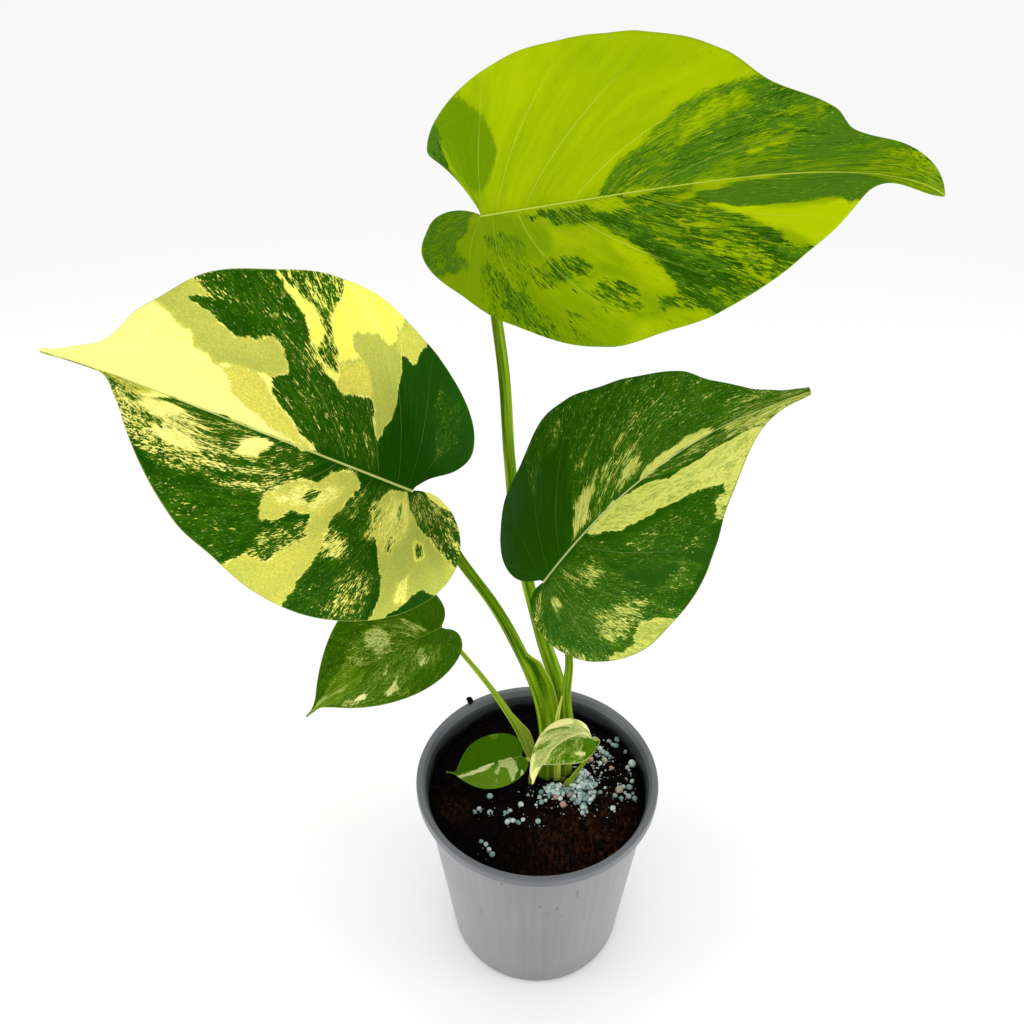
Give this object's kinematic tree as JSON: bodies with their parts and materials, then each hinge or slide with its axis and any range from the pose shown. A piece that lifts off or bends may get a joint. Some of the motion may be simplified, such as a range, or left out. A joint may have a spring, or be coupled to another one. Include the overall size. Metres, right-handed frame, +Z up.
{
  "type": "potted plant",
  "caption": "Variegated heart-leaved aroid house plant: lime, cream and green marbled blades on slender sheathed stalks, rooted in peat in a grey tapered nursery pot.",
  "frame": {"origin": "centre of the pot's foot, on the surface that the pot stands on", "axes": "+Z up along the pot's axis; the plant is seen from the -Y side, with its top blade pointing to +X"},
  "size_m": [0.2926, 0.1264, 0.4312],
  "materials": {
    "pot_plastic": "satin moulded",
    "peat": "moist and crumbly",
    "granules": "matt coated",
    "stalk": "smooth and waxy",
    "sheath": "thin and dry",
    "blade_lime": "semi-gloss",
    "blade_cream": "semi-gloss",
    "blade_green": "semi-gloss",
    "blade_pale": "semi-gloss"
  },
  "bodies": {
    "root": {"pot": "pot_plastic", "peat": "peat", "granule_pile": "granules", "peat_crumb": "peat", "crown": "stalk", "sheath_tip": "sheath", "stalk_top": "stalk", "stalk_left": "stalk", "stalk_right": "stalk", "stalk_low": "stalk", "stalk_small_left": "stalk", "stalk_small_front": "stalk", "leaf_top": "blade_lime", "leaf_left": "blade_cream", "leaf_right": "blade_green", "leaf_low": "blade_green", "leaf_small_left": "blade_green", "leaf_small_front": "blade_pale"}
  },
  "joints": []
}
